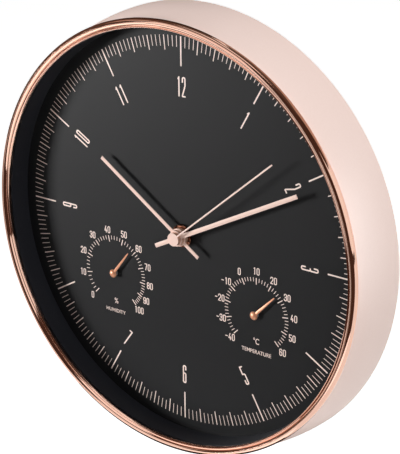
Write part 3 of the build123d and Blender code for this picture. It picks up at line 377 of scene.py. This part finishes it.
finishes["cover_glass"] = makeGlass()
slots = {entry["node"]: entry["material_slot"] for entry in frame["record"]["subparts"]}
print("materials made:", len(finishes))


# Shared makers
meshing = {"mergeMm": 0.002, "sharpDegrees": 32}   # points this close are one, and edges this sharp stay so


def addPiece(name, mesh, body, slot, replaced=(), material=None):
    # New piece that rides a body, in place of the CAD nodes named
    made = bpy.data.objects.new(name, mesh)
    scene.collection.objects.link(made)
    mesh.materials.clear()
    mesh.materials.append(material or finishes[slot])
    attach(made, body)
    if replaced:
        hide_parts(*replaced)


def mergedCopy(mesh):
    work = bmesh.new()
    work.from_mesh(mesh)
    bmesh.ops.remove_doubles(work, verts=work.verts, dist=meshing["mergeMm"] * mm)
    return work


def writeMesh(work, mesh, sharpDegrees=None):
    work.to_mesh(mesh)
    work.free()
    if sharpDegrees:
        mesh.shade_smooth()
        mesh.set_sharp_from_angle(angle=math.radians(sharpDegrees))
    return mesh


def finishMesh(mesh):
    work = mergedCopy(mesh)
    bmesh.ops.recalc_face_normals(work, faces=work.faces)
    return writeMesh(work, mesh, meshing["sharpDegrees"])


def lathe(name, outline, steps, centre=(0, 0)):
    # Turns a closed outline of (radius, height) in millimetres round an axis along Y
    count = len(outline)
    points = []
    for step in range(steps):
        turn = 2 * math.pi * step / steps
        for radius, height in outline:
            points.append((centre[0] * mm + radius * mm * math.sin(turn), -height * mm,
                           centre[1] * mm + radius * mm * math.cos(turn)))
    faces = []
    for step in range(steps):
        here, there = step * count, (step + 1) % steps * count
        for i in range(count):
            j = (i + 1) % count
            if outline[i][0] or outline[j][0]:
                faces.append((here + i, here + j, there + j, there + i))
    mesh = bpy.data.meshes.new(name)
    mesh.from_pydata(points, [], faces)
    return finishMesh(mesh)


def smoothLine(points, share):
    # Smooth curve through points, with its ends kept and each stretch cut into equal shares
    padded = [points[0], *points, points[-1]]
    line = []
    for a, b, c, d in zip(padded, padded[1:], padded[2:], padded[3:]):
        for step in range(share):
            t = step / share
            line.append(tuple(0.5 * (2 * q + (r - p) * t + (2 * p - 5 * q + 4 * r - s) * t * t
                                     + (3 * q - p - 3 * r + s) * t ** 3) for p, q, r, s in zip(a, b, c, d)))
    return line + [points[-1]]


# Bezel: a polished bead rolled over the glass, with a groove and a thin lip inside
bezel = {
    "bead": [(143.2, 36.6), (144.86, 37.52), (145.3, 39.08), (144.67, 41.14), (142.91, 42.0), (141.52, 41.51),
             (140.64, 40.38)],
    "lip": [(140.2, 40.38), (139.63, 40.87), (139.0, 39.95)],
    "seat": [(139.0, 38.8), (140.8, 38.8), (140.8, 30.0), (141.9, 30.0), (141.9, 36.6)],
    "top": 42.0,    # nothing stands higher
    "share": 6, "steps": 480,
}


def bezelRing():
    rolled = smoothLine(bezel["bead"], bezel["share"]) + smoothLine(bezel["lip"], bezel["share"])
    outline = [(radius, min(height, bezel["top"])) for radius, height in rolled + bezel["seat"]]
    addPiece("bezelRing", lathe("bezelRing", outline, bezel["steps"]), "clock", "bezel_metal", ["bezel_ring"])


# Case band: flares back to the wall, with the flange that takes the back cover's screws
case = {"rear": 150.0, "front": 143.2, "height": 36.6, "wall": 1.2, "flangeInner": 142.4, "flange": (5.2, 6.2),
        "rearEdge": 0.25, "stations": 30, "steps": 480}


def caseBand():
    drop = case["rear"] - case["front"]
    flare = (case["height"] ** 2 + drop ** 2) / (2 * drop)

    def radiusAt(height):
        return case["rear"] - flare + math.sqrt(flare ** 2 - height ** 2)

    heights = [case["height"] * i / case["stations"] for i in range(case["stations"] + 1)]
    low, high = case["flange"]
    outer = [(radiusAt(h), h) for h in heights]
    outer[0:1] = [(radiusAt(0) - case["rearEdge"], 0.0), (radiusAt(0), case["rearEdge"])]
    inner = [(radiusAt(h) - case["wall"], h) for h in heights if h > high]
    flange = [(radiusAt(high) - case["wall"], high), (case["flangeInner"], high), (case["flangeInner"], low),
              (radiusAt(low) - case["wall"], low), (radiusAt(0) - case["wall"], 0.0)]
    outline = outer + inner[::-1] + flange
    addPiece("caseBand", lathe("caseBand", outline, case["steps"]), "clock", "case_lacquer", ["case_side"])


# Black ring between dial and glass
blackRing = {"outline": [(139.3, 21.0), (139.3, 36.4), (140.6, 36.4), (140.6, 22.6), (142.25, 22.6),
                         (142.25, 18.5), (140.95, 18.5), (140.95, 21.0)], "steps": 360}


def innerRing():
    ring = lathe("blackRing", blackRing["outline"], blackRing["steps"])
    addPiece("blackRing", ring, "clock", "black_plastic", ["inner_ring"])


# Nut under the hands: turned flat, with a chamfer
nut = {"outline": [(4.0, 21.4), (7.6, 21.4), (7.8, 21.6), (7.8, 22.7), (7.3, 23.2), (4.0, 23.2)], "steps": 96}


def fixingNut():
    ring = lathe("fixingNut", nut["outline"], nut["steps"])
    addPiece("fixingNut", ring, "clock", "nut_metal", ["fixing_nut"])


bezelRing()
caseBand()
innerRing()
fixingNut()
print("case, bezel and ring turned")


# Radial marks by geometry nodes: each point of the source mesh carries its turn, length and width
def newTree(name, inputs):
    tree = bpy.data.node_groups.new(name, "GeometryNodeTree")
    tree.interface.new_socket("Geometry", in_out="INPUT", socket_type="NodeSocketGeometry")
    for label, kind in inputs.items():
        tree.interface.new_socket(label, in_out="INPUT", socket_type="NodeSocket" + kind)
    tree.interface.new_socket("Geometry", in_out="OUTPUT", socket_type="NodeSocketGeometry")
    return tree, addNode(tree, "NodeGroupInput").outputs


def runTree(tree, source, values):
    carrier = bpy.data.objects.new("carrier", source)
    scene.collection.objects.link(carrier)
    modifier = carrier.modifiers.new("nodes", "NODES")
    modifier.node_group = tree
    for item in tree.interface.items_tree:
        if item.in_out == "INPUT" and item.name in values:
            modifier[item.identifier] = values[item.name]
    graph = bpy.context.evaluated_depsgraph_get()
    mesh = bpy.data.meshes.new_from_object(carrier.evaluated_get(graph), depsgraph=graph)
    bpy.data.objects.remove(carrier)
    return mesh


def markTree():
    tree, given = newTree("radialMarks", {"Radius": "Float", "Centre": "Vector", "Thickness": "Float",
                                          "Ink": "Material"})
    turn, long, wide = (
        addNode(tree, "GeometryNodeInputNamedAttribute", {"Name": label}, data_type="FLOAT").outputs[0]
        for label in ("turn", "markLength", "markWidth"))
    half = addNode(tree, "ShaderNodeMath", {0: long, 1: 0.5}, operation="MULTIPLY").outputs[0]
    middle = addNode(tree, "ShaderNodeMath", {0: given["Radius"], 1: half}, operation="SUBTRACT").outputs[0]
    sine = addNode(tree, "ShaderNodeMath", {0: turn}, operation="SINE").outputs[0]
    cosine = addNode(tree, "ShaderNodeMath", {0: turn}, operation="COSINE").outputs[0]
    direction = addNode(tree, "ShaderNodeCombineXYZ", {0: sine, 2: cosine}).outputs[0]
    arm = addNode(tree, "ShaderNodeVectorMath", {0: direction, "Scale": middle}, operation="SCALE").outputs[0]
    place = addNode(tree, "ShaderNodeVectorMath", {0: arm, 1: given["Centre"]}, operation="ADD").outputs[0]
    moved = addNode(tree, "GeometryNodeSetPosition",
                    {"Geometry": given["Geometry"], "Position": place}).outputs[0]
    size = addNode(tree, "ShaderNodeCombineXYZ", {0: wide, 1: given["Thickness"], 2: long}).outputs[0]
    angle = addNode(tree, "ShaderNodeCombineXYZ", {1: turn}).outputs[0]
    bar = addNode(tree, "GeometryNodeMeshCube", {"Size": (1, 1, 1)}).outputs[0]
    copies = addNode(tree, "GeometryNodeInstanceOnPoints",
                     {"Points": moved, "Instance": bar, "Rotation": angle, "Scale": size}).outputs[0]
    real = addNode(tree, "GeometryNodeRealizeInstances", {0: copies}).outputs[0]
    inked = addNode(tree, "GeometryNodeSetMaterial", {"Geometry": real, "Material": given["Ink"]}).outputs[0]
    addNode(tree, "NodeGroupOutput", {0: inked})
    return tree


def markSource(name, marks):
    # marks: (degrees clockwise from twelve, length, width) in millimetres
    mesh = bpy.data.meshes.new(name)
    mesh.from_pydata([(0, 0, 0)] * len(marks), [], [])
    columns = {"turn": [math.radians(m[0]) for m in marks], "markLength": [m[1] * mm for m in marks],
               "markWidth": [m[2] * mm for m in marks]}
    for label, values in columns.items():
        mesh.attributes.new(label, "FLOAT", "POINT").data.foreach_set("value", values)
    return mesh


# Printed rim of the dial
track = {   # each kind of mark is its length and width
    "radius": 131.5, "hour": (19.0, 0.95), "minute": (9.5, 0.6), "quarter": (7.1, 0.38),
    "marks": 240, "perMinute": 4, "perHour": 20, "inkThickness": 0.1, "dialHeight": 21.0,
}


def printMarks(name, tree, marks, radius, centre, replaced):
    middle = -(track["dialHeight"] + track["inkThickness"] / 2) * mm
    mesh = runTree(tree, markSource(name, marks), {
        "Radius": radius * mm, "Centre": (centre[0] * mm, middle, centre[1] * mm),
        "Thickness": track["inkThickness"] * mm, "Ink": finishes["printed_rose"]})
    addPiece(name, mesh, "clock", "printed_rose", [replaced])


def minuteTrack(tree):
    marks = []
    for number in range(track["marks"]):
        kind = "quarter" if number % track["perMinute"] else ("minute" if number % track["perHour"] else "hour")
        marks.append((360 / track["marks"] * number, *track[kind]))
    printMarks("minuteTrack", tree, marks, track["radius"], (0, 0), "minute_track")


# Small dials: marks by the same tree, numbers copied from the CAD node, words underneath
smallDials = {   # a word is its text, centre, width and height
    "humidity": {
        "centre": (-59.3, -40.1), "markRadius": 26.2,
        "degrees": (-135, -102, -71, -41, -12, 16, 44, 70, 95, 118, 138),
        "words": [("%", (-59.1, -60.8), 3.2, 3.9), ("HUMIDITY", (-59.7, -68.2), 17.3, 2.6)],
    },
    "temperature": {
        "centre": (58.9, -40.5), "markRadius": 25.0,
        "degrees": (-135, -108, -81, -54, -27, 0, 27, 54, 81, 108, 135),
        "words": [("\u00b0C", (59.1, -59.0), 4.6, 4.4), ("TEMPERATURE", (59.3, -66.5), 23.4, 2.7)],
    },
}
smallMarks = {"major": (4.4, 0.6), "minor": (2.7, 0.4), "divisions": 5, "numberGap": 0.3}
lettering = {"bolder": 0.012, "mergeMm": 0.001}


def looseParts(mesh, keeps):
    # Merged copy of a CAD mesh with only the loose parts whose middle passes the test
    work = mergedCopy(mesh)
    seen, dropped = set(), []
    for first in work.verts:
        if first in seen:
            continue
        part, front = [], [first]
        seen.add(first)
        while front:
            here = front.pop()
            part.append(here)
            for edge in here.link_edges:
                there = edge.other_vert(here)
                if there not in seen:
                    seen.add(there)
                    front.append(there)
        if not keeps(sum((v.co for v in part), Vector()) / len(part)):
            dropped += part
    bmesh.ops.delete(work, geom=dropped, context="VERTS")
    return writeMesh(work, bpy.data.meshes.new(mesh.name + "Kept"))


def smallDialMarks(name, tree):
    dial = smallDials[name]
    degrees, divisions = dial["degrees"], smallMarks["divisions"]
    marks = [(turn, *smallMarks["major"]) for turn in degrees]
    for start, end in zip(degrees, degrees[1:]):
        marks += [(start + (end - start) * i / divisions, *smallMarks["minor"]) for i in range(1, divisions)]
    printMarks(name + "Marks", tree, marks, dial["markRadius"], dial["centre"], name + "_scale")


def smallDialNumbers(name):
    dial = smallDials[name]
    centre = Vector((dial["centre"][0] * mm, 0, dial["centre"][1] * mm))
    limit = (dial["markRadius"] + smallMarks["numberGap"]) * mm

    def isNumber(place):
        return (Vector((place.x, 0, place.z)) - centre).length > limit

    mesh = looseParts(frame["nodes"][name + "_scale"].data, isNumber)
    addPiece(name + "Numbers", mesh, "clock", "printed_rose")


def printedWords(name, words):
    # Plain sans letters, each word set to its width and height on the dial
    work = bmesh.new()
    for text, centre, width, height in words:
        curve = bpy.data.curves.new("word", "FONT")
        curve.body = text
        curve.offset = lettering["bolder"]
        carrier = bpy.data.objects.new("word", curve)
        scene.collection.objects.link(carrier)
        graph = bpy.context.evaluated_depsgraph_get()
        flat = bpy.data.meshes.new_from_object(carrier.evaluated_get(graph), depsgraph=graph)
        bpy.data.objects.remove(carrier)
        xs = [v.co.x for v in flat.vertices]
        ys = [v.co.y for v in flat.vertices]
        scaleX, scaleY = width / (max(xs) - min(xs)), height / (max(ys) - min(ys))
        for v in flat.vertices:
            v.co = ((centre[0] + (v.co.x - (max(xs) + min(xs)) / 2) * scaleX) * mm, -track["dialHeight"] * mm,
                    (centre[1] + (v.co.y - (max(ys) + min(ys)) / 2) * scaleY) * mm)
        work.from_mesh(flat)
    bmesh.ops.remove_doubles(work, verts=work.verts, dist=lettering["mergeMm"] * mm)
    raised = bmesh.ops.extrude_face_region(work, geom=work.faces[:])["geom"]
    lift = Vector((0, -track["inkThickness"] * mm, 0))
    bmesh.ops.translate(work, verts=[g for g in raised if isinstance(g, bmesh.types.BMVert)], vec=lift)
    bmesh.ops.recalc_face_normals(work, faces=work.faces)
    addPiece(name + "Words", writeMesh(work, bpy.data.meshes.new(name + "Words")), "clock", "printed_rose")


radialMarks = markTree()
minuteTrack(radialMarks)
for name, dial in smallDials.items():
    smallDialMarks(name, radialMarks)
    smallDialNumbers(name)
    printedWords(name, dial["words"])
print("dial printed")


# Pointers of the small dials: a ridged needle on a domed boss
needle = {
    "stations": [   # distance along the needle and half width there
        (0, 1.1), (6, 0.95), (14, 0.7), (21.7, 0.46), (22.3, 0.32), (22.5, 0.12)],
    "under": 23.6, "edge": 23.78, "ridge": 24.25, "ridgeEnd": 24.0,   # heights
    "boss": [(0, 25.0), (0.8, 24.94), (1.6, 24.74), (2.3, 24.4), (2.75, 24.0), (2.9, 23.75), (2.9, 23.6),
             (0, 23.6)],
    "bossSteps": 40,
}
pointers = {   # small dial, degrees clockwise from its top at rest
    "hygrometer": ("humidity", 38.0), "thermometer": ("temperature", 44.5),
}


def joined(name, meshes):
    work = bmesh.new()
    for mesh in meshes:
        work.from_mesh(mesh)
    return finishMesh(writeMesh(work, bpy.data.meshes.new(name)))


def pointer(name, centre, degrees):
    along = Vector((math.sin(math.radians(degrees)), 0, math.cos(math.radians(degrees))))
    across = Vector((along.z, 0, -along.x))
    middle = Vector((centre[0], 0, centre[1]))
    points, faces = [], []
    under, edge, reach = needle["under"], needle["edge"], needle["stations"][-1][0]
    for distance, half in needle["stations"]:
        ridge = needle["ridge"] + (needle["ridgeEnd"] - needle["ridge"]) * distance / reach
        section = [(-half, under), (-half, edge), (0, ridge), (half, edge), (half, under)]
        for side, height in section:
            points.append((middle + along * distance + across * side + Vector((0, -height, 0))) * mm)
    count = len(section)
    for first in range(0, len(points) - count, count):
        for i in range(count):
            j = (i + 1) % count
            faces.append((first + i, first + j, first + count + j, first + count + i))
    faces += [tuple(range(count)), tuple(range(len(points) - count, len(points)))]
    blade = bpy.data.meshes.new(name + "Blade")
    blade.from_pydata(points, [], faces)
    boss = lathe(name + "Boss", needle["boss"], needle["bossSteps"], centre)
    mesh = joined(name + "Pointer", [blade, boss])
    addPiece(name + "Pointer", mesh, name + "_needle", "pointer_lacquer", [name + "_pointer"])


for name, (dial, degrees) in pointers.items():
    pointer(name, smallDials[dial]["centre"], degrees)
print("pointers made")


# Merged copies of CAD pieces with their sharp edges slightly rounded, as moulded and plated edges are
soft = {
    "rounding": {   # of each node, in millimetres
        "hour_hand": 0.12, "minute_hand": 0.12, "second_hand": 0.1, "back_cover": 0.25, "back_screws": 0.15,
        "hanger_plate": 0.15, "hanger_screws": 0.15, "setting_knob": 0.2, "movement_back_shell": 0.25,
        "positive_contact": 0.05, "negative_contact": 0.05, "battery_cell": 0.3,
    },
    "creased": ("hour_hand", "minute_hand", "second_hand"),   # keep the fine crease along the blade
    "flatBelow": 0.5, "roundAbove": 40,     # degrees between two faces that are joined, or rounded
    "creaseAbove": 8, "sharpAbove": 35,     # degrees that still show as an edge, creased pieces and others
    "segments": 2, "profile": 0.6,
}
bodyOf = {node: body for body, nodes in frame["record"]["behaviour"]["bodies"].items() for node in nodes}


def softCopy(node, rounding):
    source = frame["nodes"][node].data
    work = mergedCopy(source)
    bmesh.ops.dissolve_limit(work, angle_limit=math.radians(soft["flatBelow"]), verts=work.verts,
                             edges=work.edges)
    limit = math.radians(soft["roundAbove"])
    sharp = [e for e in work.edges if len(e.link_faces) == 2 and e.calc_face_angle(0) > limit]
    bmesh.ops.bevel(work, geom=sharp, offset=rounding * mm, segments=soft["segments"],
                    profile=soft["profile"], affect="EDGES", clamp_overlap=True)
    mesh = writeMesh(work, bpy.data.meshes.new(node + "Soft"),
                     soft["creaseAbove" if node in soft["creased"] else "sharpAbove"])
    name = "".join(part.title() if i else part for i, part in enumerate(node.split("_")))
    print(name, len(source.polygons), "->", len(mesh.polygons))
    addPiece(name, mesh, bodyOf[node], slots[node], [node])


for node, rounding in soft["rounding"].items():
    softCopy(node, rounding)
print("edges rounded")


# Turned skirts behind the hubs of the hands, over their collets
skirts = {
    "hands": {   # outer radius, back and front
        "hour": (5.98, 23.5, 26.2), "minute": (5.28, 26.6, 28.7), "second": (4.38, 29.1, 31.5),
    },
    "wall": 0.5, "steps": 96,
}
for name, (radius, back, front) in skirts["hands"].items():
    inner = radius - skirts["wall"]
    outline = [(radius, back), (radius, front), (inner, front), (inner, back)]
    addPiece(name + "Skirt", lathe(name + "Skirt", outline, skirts["steps"]), bodyOf[name + "_hand"],
             "hand_metal", material=skirtMetal)
print("hub skirts turned")


# Every CAD node still shown takes its finish
for name, made in frame["nodes"].items():
    slot = slots.get(name)
    if slot in finishes:
        made.data.materials.clear()
        made.data.materials.append(finishes[slot])
print("finishes given to the carried nodes")
